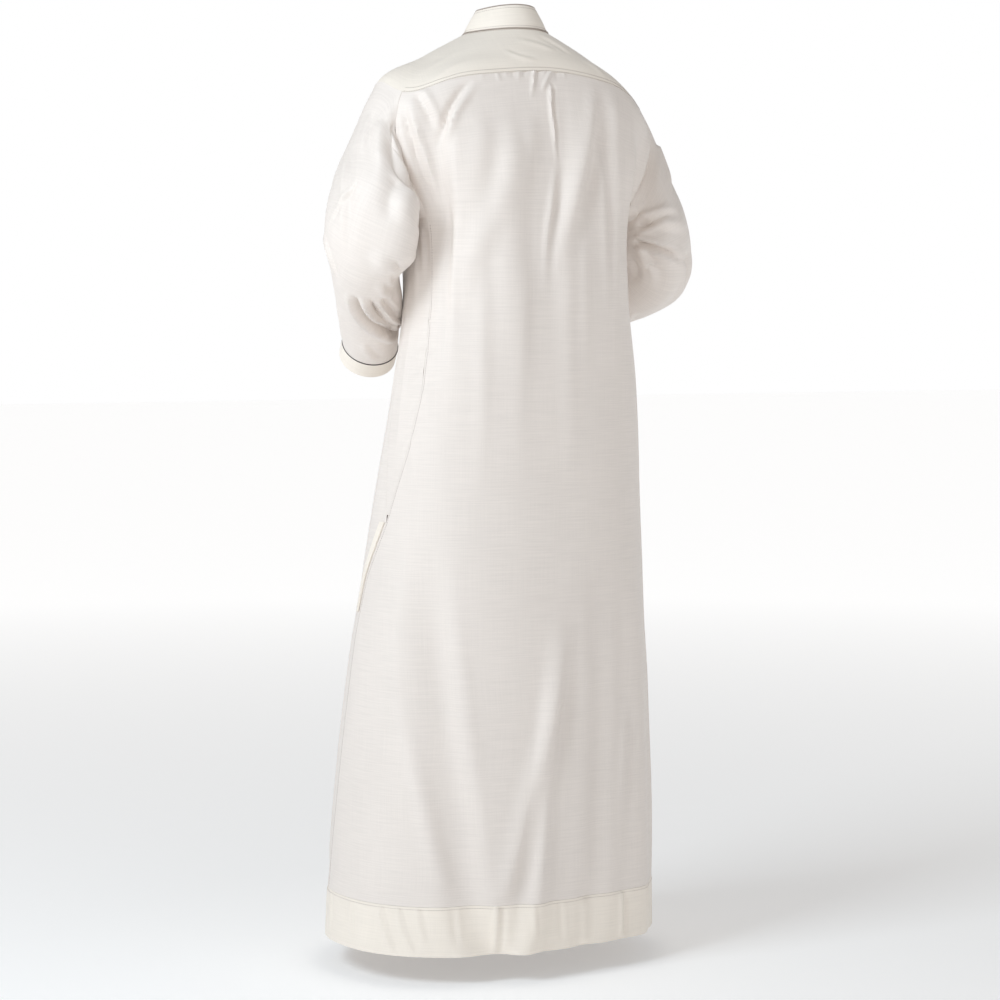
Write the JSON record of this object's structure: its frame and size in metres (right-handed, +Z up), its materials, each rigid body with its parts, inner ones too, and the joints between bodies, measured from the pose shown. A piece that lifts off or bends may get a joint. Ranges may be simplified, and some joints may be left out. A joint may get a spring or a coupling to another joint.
{
  "type": "thobe robe",
  "caption": "Ankle-length ivory cloth robe, held open in its worn shape, with a stand collar, back yoke, long bent sleeves, flared skirt and a deep hem band.",
  "frame": {"origin": "middle of the neck seam, where the robe hangs on the wearer's shoulders", "axes": "+Z up along the robe's length, -Y the way the wearer faces, +X the wearer's left"},
  "size_m": [0.6442, 0.4257, 1.4642],
  "materials": {
    "single_cloth": "satin",
    "double_cloth": "satin",
    "collar_piping": "satin",
    "cuff_piping": "satin",
    "button": "gloss"
  },
  "bodies": {
    "root": {"back_panel": "single_cloth", "front_panel": "single_cloth", "yoke": "double_cloth", "side_gusset_left": "single_cloth", "side_gusset_right": "single_cloth", "sleeve_left": "single_cloth", "sleeve_right": "single_cloth", "cuff_left": "double_cloth", "cuff_right": "double_cloth", "cuff_piping_left": "cuff_piping", "cuff_piping_right": "cuff_piping", "hem_band": "double_cloth", "collar_band": "double_cloth", "collar_top_piping": "collar_piping", "collar_base_piping": "collar_piping", "collar_tab": "double_cloth", "front_placket": "double_cloth", "button_1": "button", "button_2": "button", "button_3": "button", "button_4": "button", "button_5": "button", "pocket_welt_left": "double_cloth"}
  },
  "joints": []
}
